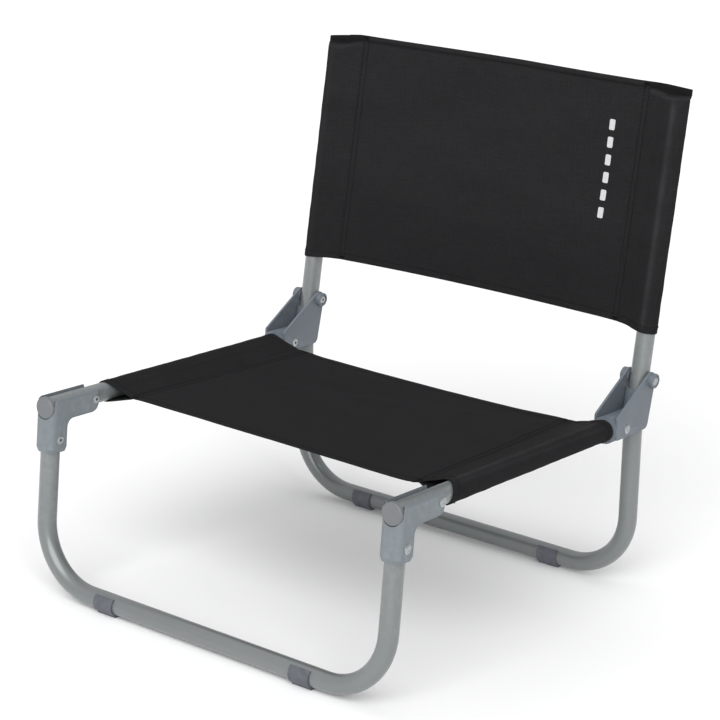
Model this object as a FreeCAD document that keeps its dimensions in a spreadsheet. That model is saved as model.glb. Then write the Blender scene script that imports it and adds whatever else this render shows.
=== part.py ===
"""Low folding camp chair: back frame, seat frame and front leg loop.

+Z is up, +Y points from the seat front to the back, and X runs across the chair.
The origin is on the ground, under the middle of the chair's outline.
"""

import FreeCAD
import Part
import math
import os
import Sketcher

V = FreeCAD.Vector
X_AXIS = V(1, 0, 0)
Y_AXIS = V(0, 1, 0)
Z_AXIS = V(0, 0, 1)

doc = FreeCAD.newDocument("folding_camp_chair")

# Driving dimensions in millimetres and degrees.
SIZES = (
    # tubes
    ("tube_radius", 11.0),
    ("tube_wall", 1.2),
    ("half_span", 244.0),
    ("corner_bend", 74.0),
    ("knee_bend", 100.0),
    ("bar_height", 13.5),
    # seat tubes
    ("front_to_origin", 257.5),
    ("seat_front_height", 219.2),
    ("seat_fall", 1.15),
    ("seat_tube_length", 434.0),
    ("seat_tube_setback", 2.5),
    ("seat_pivot_run", 68.8),
    ("hinge_rivet_run", 426.0),
    # front legs
    ("leg_run", 13.2),
    ("leg_lean", 3.45),
    ("leg_top_drop", 14.1),
    ("leg_rivet_drop", 36.5),
    # back frame
    ("knee_run", 466.2),
    ("knee_height", 204.8),
    ("rake", 7.34),
    ("rear_leg_lean", 2.06),
    ("upright_length", 374.0),
    ("pivot_rise", 54.0),
    # front brackets
    ("bracket_width", 29.0),
    ("column_depth", 27.0),
    ("column_drop", 52.0),
    ("column_corner", 9.5),
    ("rear_corner", 4.5),
    ("bevel_height", 5.0),
    ("bevel_width", 2.0),
    ("channel_gap", 0.3),
    ("cheek_rise", 11.2),
    ("recess_gap", 1.5),
    ("arm_drop", 16.0),
    ("arm_length", 62.8),
    ("elbow_bend", 9.0),
    ("arm_end_bend", 11.0),
    ("arm_top_bend", 3.0),
    ("stop_setback", 12.0),
    # rear hinge blocks
    ("hinge_half_width", 16.0),
    ("hinge_cheek", 3.2),
    ("cheek_foot_drop", 57.4),
    ("cheek_brow_drop", 31.0),
    ("cheek_rear_slope", 11.5),
    ("heel_bend", 8.0),
    ("toe_bend", 2.5),
    ("edge_round", 1.0),
    ("collar_radius", 15.9),
    ("collar_gap", 1.5),
    ("collar_lead", 2.5),
    ("saddle_lead", 11.6),
    ("saddle_gap", 0.4),
    ("saddle_wall", 2.8),
    ("saddle_drop", 13.0),
    ("boss_radius", 8.6),
    ("boss_height", 5.8),
    ("sink_depth", 1.5),
    ("lug_radius", 9.4),
    ("end_gap", 1.5),
    # rivets
    ("shank_radius", 2.5),
    ("head_radius", 5.5),
    ("head_height", 1.8),
    ("roll_radius", 5.1),
    ("roll_height", 1.3),
    ("running_fit", 0.05),
    ("press_gap", 0.02),
    ("rivet_bore", 1.7),
    ("bore_depth", 5.3),
    ("dimple_depth", 0.5),
    ("head_gap", 0.1),
    # caps, plugs, washers and feet
    ("cap_radius", 12.7),
    ("cap_rim", 5.5),
    ("cap_edge", 0.9),
    ("plug_length", 16.0),
    ("plug_dome", 2.5),
    ("plug_lip", 10.6),
    ("plug_taper", 1.2),
    ("plug_gap", 0.05),
    ("washer_radius", 7.0),
    ("foot_length", 27.0),
    ("foot_wall", 2.2),
    ("foot_offset", 141.0),
    ("sole_width", 11.0),
    ("mouth_turn", 28.0),
    ("mouth_height", 4.5),
    # cloth
    ("sleeve_radius", 12.6),
    ("cloth_thickness", 3.0),
    ("seat_cloth_start", 92.0),
    ("seat_cloth_end", 401.0),
    ("back_cloth_start", 109.0),
    ("back_cloth_top", 381.5),
)

sheet = doc.addObject("Spreadsheet::Sheet", "sizes")
for row, (alias, amount) in enumerate(SIZES, start=1):
    sheet.set(f"A{row}", alias)
    sheet.set(f"B{row}", str(amount))
    sheet.setAlias(f"B{row}", alias)
doc.recompute()


def size(expression):
    """Value of an expression written with the sheet's aliases, such as 'sizes.rake / 2'."""
    return float(sheet.evalExpression(expression))


SIZE = {alias: size(f"sizes.{alias}") for alias, _ in SIZES}
SIDES = (("left", -1), ("right", 1))
sub_parts = []

# Side view of the chair, worked out from the driving dimensions: (Y, Z) of the main points.
FALL = math.radians(SIZE["seat_fall"])
LEAN = math.radians(SIZE["leg_lean"])
RAKE = math.radians(SIZE["rake"])
REAR_LEAN = math.radians(SIZE["rear_leg_lean"])
SEAT_FRONT = V(0, -SIZE["front_to_origin"], SIZE["seat_front_height"])
SEAT_ALONG = V(0, math.cos(FALL), -math.sin(FALL))
UPRIGHT = V(0, math.sin(RAKE), math.cos(RAKE))
LEG_DOWN = V(0, -math.sin(LEAN), -math.cos(LEAN))
REAR_DOWN = V(0, math.sin(REAR_LEAN), -math.cos(REAR_LEAN))
KNEE = V(0, SIZE["knee_run"] - SIZE["front_to_origin"], SIZE["knee_height"])
LEG_CROSSING = SEAT_FRONT + SEAT_ALONG * SIZE["leg_run"]
SEAT_PIVOT = SEAT_FRONT + SEAT_ALONG * SIZE["seat_pivot_run"]
BACK_PIVOT = KNEE + UPRIGHT * SIZE["pivot_rise"]
SEAT_TILT = FreeCAD.Rotation(X_AXIS, -SIZE["seat_fall"])
BACK_TILT = FreeCAD.Rotation(X_AXIS, -SIZE["rake"])


def side_point(point, side):
    """A side-view point moved out to the tubes of one side."""
    return V(side * SIZE["half_span"], point.y, point.z)


def finish(shape_object, label, placement=None):
    """Name a sub-part, put it in its place and keep it for export."""
    shape_object.Label = label
    if placement is not None:
        shape_object.Placement = placement
    sub_parts.append(shape_object)
    return shape_object


def cylinder(name, radius, height, base=V(0, 0, 0), along=Z_AXIS):
    solid = doc.addObject("Part::Cylinder", name)
    solid.setExpression("Radius", radius)
    solid.setExpression("Height", height)
    solid.Placement = FreeCAD.Placement(base, FreeCAD.Rotation(Z_AXIS, along))
    return solid


def box(name, length, width, height, corner, turn=FreeCAD.Rotation()):
    solid = doc.addObject("Part::Box", name)
    solid.setExpression("Length", length)
    solid.setExpression("Width", width)
    solid.setExpression("Height", height)
    solid.Placement = FreeCAD.Placement(corner, turn)
    return solid


def fuse(name, *solids):
    joined = doc.addObject("Part::MultiFuse", name)
    joined.Shapes = list(solids)
    joined.Refine = True
    return joined


def cut(name, base, *tools):
    result = doc.addObject("Part::Cut", name)
    result.Base = base
    result.Tool = tools[0] if len(tools) == 1 else fuse(f"{name}_tools", *tools)
    result.Refine = True
    return result


def edge_numbers(shape_object, wanted):
    """Numbers of the edges whose middle point and direction pass the test."""
    numbers = []
    for number, edge in enumerate(shape_object.Shape.Edges, start=1):
        if edge.Degenerated:
            continue
        middle = edge.valueAt((edge.FirstParameter + edge.LastParameter) / 2)
        direction = edge.tangentAt((edge.FirstParameter + edge.LastParameter) / 2)
        if wanted(middle, direction):
            numbers.append(number)
    return numbers


def round_edges(name, base, radius, wanted):
    doc.recompute()
    rounded = doc.addObject("Part::Fillet", name)
    rounded.Base = base
    rounded.Edges = [(number, radius, radius) for number in edge_numbers(base, wanted)]
    return rounded


def bevel_edges(name, base, first, second, wanted):
    doc.recompute()
    bevelled = doc.addObject("Part::Chamfer", name)
    bevelled.Base = base
    bevelled.Edges = [(number, first, second) for number in edge_numbers(base, wanted)]
    return bevelled


def sketch_in(body, name, role):
    plane = next(feature for feature in body.Origin.OriginFeatures if feature.Role == role)
    sketch = body.newObject("Sketcher::SketchObject", name)
    sketch.AttachmentSupport = [(plane, "")]
    sketch.MapMode = "FlatFace"
    return sketch


def draw_outline(sketch, corners):
    """Closed polygon whose corners are held by expressions measured from the sketch's origin."""
    points = [V(size(across), size(up), 0) for across, up in corners]
    count = len(points)
    for index, point in enumerate(points):
        sketch.addGeometry(Part.LineSegment(point, points[(index + 1) % count]))
    for index in range(count):
        sketch.addConstraint(Sketcher.Constraint("Coincident", index, 2, (index + 1) % count, 1))
    for index, (across, up) in enumerate(corners):
        for kind, expression in (("DistanceX", across), ("DistanceY", up)):
            held = sketch.addConstraint(
                Sketcher.Constraint(kind, -1, 1, index, 1, size(expression)))
            if "sizes" in expression:
                sketch.setExpression(f"Constraints[{held}]", expression)


def draw_circle(sketch, radius):
    circle = sketch.addGeometry(Part.Circle(V(0, 0, 0), Z_AXIS, size(radius)))
    sketch.addConstraint(Sketcher.Constraint("Coincident", circle, 3, -1, 1))
    held = sketch.addConstraint(Sketcher.Constraint("Radius", circle, size(radius)))
    sketch.setExpression(f"Constraints[{held}]", radius)


def turned_body(name, corners):
    """Body turned about its own X axis from a half outline of (X, radius) corners."""
    body = doc.addObject("PartDesign::Body", name)
    sketch = sketch_in(body, f"{name}_outline", "XY_Plane")
    draw_outline(sketch, corners)
    turned = body.newObject("PartDesign::Revolution", f"{name}_turn")
    turned.Profile = sketch
    turned.ReferenceAxis = (sketch, ["H_Axis"])
    turned.Angle = 360
    return body


def tube_route(name, corners, bends):
    """Wire of straight runs joined by tangent arcs, one bend radius for each inner corner."""
    edges = []
    start = corners[0]
    for corner, after, radius in zip(corners[1:-1], corners[2:], bends):
        arriving = (corner - start).normalize()
        leaving = (after - corner).normalize()
        turn = arriving.getAngle(leaving)
        reach = radius * math.tan(turn / 2)
        enter = corner - arriving * reach
        leave = corner + leaving * reach
        inward = (leaving - arriving).normalize()
        middle = corner + inward * (radius / math.cos(turn / 2) - radius)
        edges.append(Part.LineSegment(start, enter).toShape())
        edges.append(Part.Arc(enter, middle, leave).toShape())
        start = leave
    edges.append(Part.LineSegment(start, corners[-1]).toShape())
    route = doc.addObject("Part::Feature", name)
    route.Shape = Part.Wire(edges)
    return route


def swept_rod(name, route, radius):
    """Round rod along a route."""
    first = route.Shape.Edges[0]
    start = first.valueAt(first.FirstParameter)
    ring = doc.addObject("Part::Circle", f"{name}_ring")
    ring.setExpression("Radius", radius)
    along = first.tangentAt(first.FirstParameter)
    ring.Placement = FreeCAD.Placement(start, FreeCAD.Rotation(Z_AXIS, along))
    rod = doc.addObject("Part::Sweep", name)
    rod.Sections = [ring]
    rod.Spine = (route, [f"Edge{number}" for number in range(1, len(route.Shape.Edges) + 1)])
    rod.Solid = True
    rod.Frenet = False
    return rod


def cross_holes(name, centres, radius):
    """Drills along X through both sides of the chair at side-view points."""
    drills = []
    for number, centre in enumerate(centres, start=1):
        start = V(-SIZE["half_span"] * 1.2, centre.y, centre.z)
        drills.append(cylinder(f"{name}_{number}", radius, "sizes.half_span * 2.4", start,
                               X_AXIS))
    return drills


def make_loop(label, corners, bends, rivet_centres, hole):
    """Bent hollow tube with rivet holes drilled across it."""
    route = tube_route(f"{label}_route", corners, bends)
    doc.recompute()
    outside = swept_rod(f"{label}_outside", route, "sizes.tube_radius")
    inside = swept_rod(f"{label}_inside", route, "sizes.tube_radius - sizes.tube_wall")
    drills = cross_holes(f"{label}_drill", rivet_centres, hole)
    return finish(cut(f"{label}_tube", outside, inside, *drills), label)


# ---- back frame, plugs and rear feet


def make_back_frame():
    top = KNEE + UPRIGHT * SIZE["upright_length"]
    drop = (KNEE.z - SIZE["bar_height"]) / math.cos(REAR_LEAN)
    floor = KNEE + REAR_DOWN * drop
    corners = [side_point(point, -1) for point in (top, KNEE, floor)]
    corners += [side_point(point, 1) for point in (floor, KNEE, top)]
    bends = (SIZE["knee_bend"], SIZE["corner_bend"], SIZE["corner_bend"], SIZE["knee_bend"])
    make_loop("back_frame", corners, bends, [BACK_PIVOT], "sizes.shank_radius")
    return top, floor


def make_plug(label, centre):
    """Domed plug pressed into the top of an upright."""
    bore = "sizes.tube_radius - sizes.tube_wall - sizes.plug_gap"
    corners = (
        ("-sizes.plug_length", "0"),
        ("sizes.plug_dome", "0"),
        ("sizes.plug_dome * 0.8", "sizes.plug_lip * 0.45"),
        ("0", "sizes.plug_lip"),
        ("0", bore),
        ("-sizes.plug_length + sizes.plug_taper", bore),
        ("-sizes.plug_length", f"{bore} - sizes.plug_taper"),
    )
    body = turned_body(label, corners)
    turn = FreeCAD.Rotation(X_AXIS, UPRIGHT)
    finish(body, label, FreeCAD.Placement(centre, turn))


def make_foot(label, across, bar_centre):
    """Clip round the lower part of a floor bar, with a flat sole."""
    start = V(-SIZE["foot_length"] / 2, 0, 0)
    shell = cylinder(f"{label}_shell", "sizes.tube_radius + sizes.foot_wall",
                     "sizes.foot_length", start, X_AXIS)
    sole_corner = V(start.x, -SIZE["sole_width"] / 2, -SIZE["bar_height"])
    sole = box(f"{label}_sole", "sizes.foot_length", "sizes.sole_width",
               "sizes.bar_height", sole_corner)
    bore = cylinder(f"{label}_bore", "sizes.tube_radius + sizes.press_gap",
                    "2 * sizes.foot_length", start * 2, X_AXIS)
    # The clip is open over the top and front of the bar.
    opening = FreeCAD.Rotation(X_AXIS, -SIZE["mouth_turn"])
    mouth_corner = start * 2 + opening.multVec(V(0, -SIZE["foot_length"], SIZE["mouth_height"]))
    mouth = box(f"{label}_mouth", "2 * sizes.foot_length", "2 * sizes.foot_length",
                "sizes.foot_length", mouth_corner, opening)
    clip = cut(f"{label}_clip", fuse(f"{label}_body", shell, sole), bore, mouth)
    centre = V(across, bar_centre.y, bar_centre.z)
    finish(clip, label, FreeCAD.Placement(centre, FreeCAD.Rotation()))


# ---- seat tubes and caps


def make_seat_tube(label, side):
    """Straight tube along local Y, with the two rivet holes across it."""
    body = doc.addObject("PartDesign::Body", label)
    section = sketch_in(body, f"{label}_section", "XZ_Plane")
    draw_circle(section, "sizes.tube_radius")
    draw_circle(section, "sizes.tube_radius - sizes.tube_wall")
    pad = body.newObject("PartDesign::Pad", f"{label}_pad")
    pad.Profile = section
    pad.setExpression("Length", "sizes.seat_tube_length")
    pad.Reversed = True
    doc.recompute()
    solid_volume = pad.Shape.Volume
    for number, run in enumerate(("sizes.seat_pivot_run", "sizes.hinge_rivet_run"), start=1):
        mark = sketch_in(body, f"{label}_mark_{number}", "YZ_Plane")
        across = f"{run} - sizes.seat_tube_setback"
        circle = mark.addGeometry(Part.Circle(V(size(across), 0, 0), Z_AXIS, SIZE["shank_radius"]))
        mark.addConstraint(Sketcher.Constraint("PointOnObject", circle, 3, -1))
        place = mark.addConstraint(Sketcher.Constraint("DistanceX", -1, 1, circle, 3, size(across)))
        mark.setExpression(f"Constraints[{place}]", across)
        round_ = mark.addConstraint(Sketcher.Constraint("Radius", circle, SIZE["shank_radius"]))
        mark.setExpression(f"Constraints[{round_}]", "sizes.shank_radius")
        hole = body.newObject("PartDesign::Pocket", f"{label}_hole_{number}")
        hole.Profile = mark
        hole.SideType = "Symmetric"
        hole.setExpression("Length", "sizes.tube_radius * 3")
    doc.recompute()
    if body.Shape.Volume > solid_volume - 1:
        raise RuntimeError(f"{label}: the rivet holes cut nothing")
    start = side_point(SEAT_FRONT + SEAT_ALONG * SIZE["seat_tube_setback"], side)
    finish(body, label, FreeCAD.Placement(start, SEAT_TILT))


def make_seat_cap(label, side):
    """Cup over the front end of a seat tube, with a spigot inside the tube."""
    bore = "sizes.tube_radius - sizes.tube_wall - sizes.plug_gap"
    corners = (
        ("0", "0"),
        ("0", "sizes.cap_radius - sizes.cap_edge"),
        ("sizes.cap_edge", "sizes.cap_radius"),
        ("sizes.cap_rim", "sizes.cap_radius"),
        ("sizes.cap_rim", "sizes.tube_radius + sizes.press_gap"),
        ("sizes.seat_tube_setback", "sizes.tube_radius + sizes.press_gap"),
        ("sizes.seat_tube_setback", bore),
        ("sizes.plug_length", bore),
        ("sizes.plug_length", "0"),
    )
    body = turned_body(label, corners)
    turn = SEAT_TILT.multiply(FreeCAD.Rotation(Z_AXIS, 90))
    finish(body, label, FreeCAD.Placement(side_point(SEAT_FRONT, side), turn))


# ---- front brackets and leg loop


def make_front_bracket(label, side):
    """L-shaped bracket: leg socket below, open channel round the seat tube above.

    Its local frame is the seat's, with the origin where the leg axis meets the seat tube's.
    """
    lean = math.radians(SIZE["leg_lean"] - SIZE["seat_fall"])
    down = V(0, -math.sin(lean), -math.cos(lean))
    half_width = SIZE["bracket_width"] / 2
    half_depth = SIZE["column_depth"] / 2
    drop = SIZE["column_drop"]

    def column_edge(way, height):
        """Point on the front (-1) or rear (1) face of the leaning column at a height."""
        return way * half_depth / math.cos(lean) + height * math.tan(lean), height

    corners = [
        column_edge(-1, SIZE["cheek_rise"]),
        column_edge(-1, -drop),
        column_edge(1, -drop),
        column_edge(1, -SIZE["arm_drop"]),
        (SIZE["arm_length"], -SIZE["arm_drop"]),
        (SIZE["arm_length"], SIZE["cheek_rise"]),
    ]
    block = doc.addObject("PartDesign::Body", f"{label}_block")
    outline = sketch_in(block, f"{label}_outline", "YZ_Plane")
    draw_outline(outline, [(f"{along:.3f}", f"{up:.3f}") for along, up in corners])
    pad = block.newObject("PartDesign::Pad", f"{label}_pad")
    pad.Profile = outline
    pad.SideType = "Symmetric"
    pad.setExpression("Length", "sizes.bracket_width")

    def across_at(corner, radius, name, base):
        """Round the edge that runs across the bracket through one corner of its outline."""
        return round_edges(
            f"{label}_{name}", base, radius,
            lambda middle, direction: abs(direction.x) > 0.9
            and math.hypot(middle.y - corner[0], middle.z - corner[1]) < 0.1)

    block = across_at(corners[3], SIZE["elbow_bend"], "elbow", block)
    block = across_at(corners[4], SIZE["arm_end_bend"], "arm_end", block)
    block = across_at(corners[5], SIZE["arm_top_bend"], "arm_top", block)
    block = round_edges(
        f"{label}_front_round", block, SIZE["column_corner"],
        lambda middle, direction: middle.y < -half_depth and abs(direction.z) > 0.9)
    block = round_edges(
        f"{label}_rear_round", block, SIZE["rear_corner"],
        lambda middle, direction: abs(abs(middle.x) - half_width) < 0.01
        and middle.y > half_depth / 2 and middle.z < -SIZE["arm_drop"] / 2)
    block = bevel_edges(
        f"{label}_bevel", block, SIZE["bevel_height"], SIZE["bevel_width"],
        lambda middle, direction: middle.z < 0.5 - drop)

    bore_radius = SIZE["tube_radius"] + SIZE["channel_gap"]
    channel = cylinder(f"{label}_channel", "sizes.tube_radius + sizes.channel_gap",
                       "2 * sizes.arm_length", V(0, -SIZE["arm_length"], 0), Y_AXIS)
    channel_top = box(f"{label}_channel_top", "2 * (sizes.tube_radius + sizes.channel_gap)",
                      "2 * sizes.arm_length", "2 * sizes.cheek_rise",
                      V(-bore_radius, -SIZE["arm_length"], 0))
    # The cap's rim lies in a wider recess at the front.
    recess_end = SIZE["cap_rim"] + SIZE["recess_gap"] - SIZE["leg_run"]
    recess_radius = SIZE["cap_radius"] + SIZE["channel_gap"]
    recess_start = V(0, recess_end - SIZE["column_depth"], 0)
    recess = cylinder(f"{label}_recess", "sizes.cap_radius + sizes.channel_gap",
                      "sizes.column_depth", recess_start, Y_AXIS)
    recess_top = box(f"{label}_recess_top", "2 * (sizes.cap_radius + sizes.channel_gap)",
                     "sizes.column_depth", "2 * sizes.cheek_rise",
                     recess_start - X_AXIS * recess_radius)
    pivot_y = SIZE["seat_pivot_run"] - SIZE["leg_run"]
    # No floor under the pivot, so that the channel can swing round the tube.
    release = box(f"{label}_release", "2 * (sizes.tube_radius + sizes.channel_gap)",
                  "sizes.arm_length", "2 * sizes.arm_drop",
                  V(-bore_radius, pivot_y - SIZE["stop_setback"], -2 * SIZE["arm_drop"]))
    socket = cylinder(f"{label}_socket", "sizes.tube_radius + sizes.press_gap",
                      "2 * sizes.column_drop - sizes.leg_top_drop",
                      down * (2 * drop), down * -1)
    across = V(-SIZE["bracket_width"], 0, 0)
    pivot_hole = cylinder(f"{label}_pivot_hole", "sizes.shank_radius + sizes.running_fit",
                          "2 * sizes.bracket_width", across + Y_AXIS * pivot_y, X_AXIS)
    leg_hole = cylinder(f"{label}_leg_hole", "sizes.shank_radius", "2 * sizes.bracket_width",
                        across + down * SIZE["leg_rivet_drop"], X_AXIS)
    bracket = cut(f"{label}_bracket", block, channel, channel_top, recess, recess_top, release,
                  socket, pivot_hole, leg_hole)
    finish(bracket, label, FreeCAD.Placement(side_point(LEG_CROSSING, side), SEAT_TILT))


def make_front_leg_loop():
    top = LEG_CROSSING + LEG_DOWN * SIZE["leg_top_drop"]
    drop = (LEG_CROSSING.z - SIZE["bar_height"]) / math.cos(LEAN)
    floor = LEG_CROSSING + LEG_DOWN * drop
    corners = [side_point(top, -1), side_point(floor, -1), side_point(floor, 1), side_point(top, 1)]
    bends = (SIZE["corner_bend"], SIZE["corner_bend"])
    rivet_at = LEG_CROSSING + LEG_DOWN * SIZE["leg_rivet_drop"]
    make_loop("front_leg_loop", corners, bends, [rivet_at], "sizes.shank_radius")
    return rivet_at, floor


# ---- rear hinge blocks


def make_rear_hinge(label, side):
    """Collar round the seat tube, two cheeks up to the pivot, and a saddle against the upright.

    Its local origin is the pivot, and its axes are the chair's.
    """
    half_width = SIZE["hinge_half_width"]
    lug = SIZE["lug_radius"]
    seat_line = SEAT_FRONT - BACK_PIVOT
    collar_front = seat_line + SEAT_ALONG * (SIZE["seat_cloth_end"] + SIZE["collar_gap"])

    # Cheeks: a straight-sided plate with rounded corners that ends in a round lug at the pivot.
    foot = -SIZE["cheek_foot_drop"]
    toe_y = collar_front.y + SIZE["collar_lead"]
    brow = V(0, toe_y, -SIZE["cheek_brow_drop"])
    reach = math.hypot(brow.y, brow.z)
    swing = math.atan2(brow.z, brow.y) - math.acos(lug / reach)
    shoulder = V(0, lug * math.cos(swing), lug * math.sin(swing))
    rear_slope = math.radians(SIZE["cheek_rear_slope"])
    waist = V(0, lug * math.cos(rear_slope), -lug * math.sin(rear_slope))
    heel_y = waist.y - (waist.z - foot) * math.tan(rear_slope)
    cheek_body = doc.addObject("PartDesign::Body", f"{label}_cheek")
    outline = sketch_in(cheek_body, f"{label}_outline", "YZ_Plane")
    draw_outline(outline, [(f"{along:.3f}", f"{up:.3f}") for along, up in (
        (toe_y, foot), (heel_y, foot), (waist.y, waist.z), (0, 0),
        (shoulder.y, shoulder.z), (brow.y, brow.z))])
    pad = cheek_body.newObject("PartDesign::Pad", f"{label}_pad")
    pad.Profile = outline
    pad.SideType = "Symmetric"
    pad.setExpression("Length", "2 * sizes.hinge_half_width")
    plate = round_edges(
        f"{label}_heel", cheek_body, SIZE["heel_bend"],
        lambda middle, direction: abs(direction.x) > 0.9
        and math.hypot(middle.y - heel_y, middle.z - foot) < 0.1)
    plate = round_edges(
        f"{label}_toe", plate, SIZE["toe_bend"],
        lambda middle, direction: abs(direction.x) > 0.9 and abs(middle.y - toe_y) < 0.1)
    lug_disc = cylinder(f"{label}_lug", "sizes.lug_radius", "2 * sizes.hinge_half_width",
                        V(-half_width, 0, 0), X_AXIS)
    plate = round_edges(
        f"{label}_plate_round", fuse(f"{label}_plate", plate, lug_disc), SIZE["edge_round"],
        lambda middle, direction: abs(abs(middle.x) - half_width) < 0.01)
    boss = cylinder(f"{label}_boss", "sizes.boss_radius",
                    "2 * (sizes.hinge_half_width + sizes.boss_height)",
                    V(-half_width - SIZE["boss_height"], 0, 0), X_AXIS)
    boss = round_edges(f"{label}_boss_round", boss, SIZE["edge_round"],
                       lambda middle, direction: abs(direction.x) < 0.1)
    between = box(f"{label}_between", "2 * (sizes.hinge_half_width - sizes.hinge_cheek)",
                  "4 * sizes.cheek_foot_drop", "4 * sizes.cheek_foot_drop",
                  V(SIZE["hinge_cheek"] - half_width, 2 * foot, 2 * foot))
    cheeks = cut(f"{label}_cheeks", fuse(f"{label}_plates", plate, boss), between)

    # Collar round the seat tube, and the saddle behind it: a half shell against the upright.
    collar_length = KNEE.y - SIZE["saddle_lead"] - (collar_front + BACK_PIVOT).y
    collar = cylinder(f"{label}_collar", "sizes.collar_radius", f"{collar_length:.3f}",
                      collar_front, SEAT_ALONG)
    saddle_foot = UPRIGHT * (foot + SIZE["edge_round"])
    shell = cylinder(f"{label}_shell", "sizes.tube_radius + sizes.saddle_gap + sizes.saddle_wall",
                     "sizes.cheek_foot_drop - sizes.edge_round - sizes.saddle_drop",
                     saddle_foot, UPRIGHT)
    behind = box(f"{label}_behind", "4 * sizes.hinge_half_width", "2 * sizes.hinge_half_width",
                 "4 * sizes.cheek_foot_drop",
                 V(-2 * half_width, 0, 0) + UPRIGHT * (2 * foot), BACK_TILT)
    saddle = cut(f"{label}_saddle", shell, behind)
    solid = fuse(f"{label}_solid", cheeks, collar, saddle)

    passage = cylinder(f"{label}_passage", "sizes.tube_radius + sizes.saddle_gap",
                       "4 * sizes.cheek_foot_drop", UPRIGHT * (2 * foot), UPRIGHT)
    bore = cylinder(f"{label}_bore", "sizes.tube_radius + sizes.press_gap",
                    "sizes.seat_tube_setback + sizes.seat_tube_length - sizes.seat_cloth_end"
                    " + sizes.end_gap", collar_front, SEAT_ALONG)
    across = V(-2 * half_width, 0, 0)
    rivet_at = seat_line + SEAT_ALONG * SIZE["hinge_rivet_run"]
    tube_hole = cylinder(f"{label}_tube_hole", "sizes.shank_radius", "4 * sizes.hinge_half_width",
                         across + rivet_at, X_AXIS)
    pivot_hole = cylinder(f"{label}_pivot_hole", "sizes.shank_radius + sizes.running_fit",
                          "4 * sizes.hinge_half_width", across, X_AXIS)
    sinks = []
    for name, way in (("inner", -1), ("outer", 1)):
        face = V(way * (half_width + SIZE["boss_height"] - SIZE["sink_depth"]), 0, 0)
        sinks.append(cylinder(f"{label}_{name}_sink", "sizes.head_radius + sizes.channel_gap",
                              "sizes.boss_height", face, X_AXIS * way))
    hinge = cut(f"{label}_hinge", solid, passage, bore, tube_hole, pivot_hole, *sinks)
    finish(hinge, label, FreeCAD.Placement(side_point(BACK_PIVOT, side), FreeCAD.Rotation()))


# ---- rivets and washers


def make_rivet(label, grip, centre, side):
    """Hollow rivet along X: domed head on the outer side, rolled end on the inner side."""
    half = f"({grip}) / 2"
    # The head's dome and dimple are shares of its height and radius.
    corners = (
        (f"-{half} - sizes.roll_height + sizes.bore_depth", "0"),
        (f"-{half} - sizes.roll_height + sizes.bore_depth", "sizes.rivet_bore"),
        (f"-{half} - sizes.roll_height", "sizes.rivet_bore"),
        (f"-{half} - sizes.roll_height", "sizes.roll_radius * 0.76"),
        (f"-{half} - sizes.roll_height / 2", "sizes.roll_radius"),
        (f"-{half}", "sizes.roll_radius"),
        (f"-{half}", "sizes.shank_radius"),
        (half, "sizes.shank_radius"),
        (half, "sizes.head_radius"),
        (f"{half} + sizes.head_height * 0.4", "sizes.head_radius"),
        (f"{half} + sizes.head_height * 0.85", "sizes.head_radius * 0.72"),
        (f"{half} + sizes.head_height", "sizes.head_radius * 0.42"),
        (f"{half} + sizes.head_height - sizes.dimple_depth", "sizes.head_radius * 0.25"),
        (f"{half} + sizes.head_height - sizes.dimple_depth", "0"),
    )
    body = turned_body(label, corners)
    turn = FreeCAD.Rotation(Z_AXIS, 0 if side > 0 else 180)
    finish(body, label, FreeCAD.Placement(side_point(centre, side), turn))


def make_washers(label, side):
    """Pair of spacer washers between the hinge cheeks and the upright."""
    length = "sizes.hinge_half_width - sizes.hinge_cheek - sizes.tube_radius - 2 * sizes.head_gap"
    rings = []
    for way, name in ((-1, "inner"), (1, "outer")):
        face = V(way * (SIZE["tube_radius"] + SIZE["plug_gap"]), 0, 0)
        disc = cylinder(f"{label}_{name}_disc", "sizes.washer_radius", length, face, X_AXIS * way)
        hole = cylinder(f"{label}_{name}_hole", "sizes.shank_radius + sizes.press_gap", length, face,
                        X_AXIS * way)
        rings.append(cut(f"{label}_{name}", disc, hole))
    pair = doc.addObject("Part::Compound", f"{label}_pair")
    pair.Links = rings
    finish(pair, label, FreeCAD.Placement(side_point(BACK_PIVOT, side), FreeCAD.Rotation()))


# ---- cloth


def make_seat_cloth():
    """Flat panel with a sleeve round each seat tube, in the seat's own frame."""
    span = SIZE["half_span"]
    length = "sizes.seat_cloth_end - sizes.seat_cloth_start"
    panel = box("seat_panel", "2 * sizes.half_span", length, "sizes.cloth_thickness",
                V(-span, SIZE["seat_cloth_start"], -SIZE["cloth_thickness"] / 2))
    sleeves = []
    bores = []
    for name, side in SIDES:
        start = V(side * span, SIZE["seat_cloth_start"], 0)
        sleeves.append(cylinder(f"seat_sleeve_{name}", "sizes.sleeve_radius", length, start, Y_AXIS))
        bores.append(cylinder(f"seat_bore_{name}", "sizes.tube_radius + sizes.press_gap",
                              length, start, Y_AXIS))
    cloth = cut("seat_cloth_cut", fuse("seat_cloth_solid", panel, *sleeves), *bores)
    finish(cloth, "seat_cloth", FreeCAD.Placement(SEAT_FRONT, SEAT_TILT))


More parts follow.
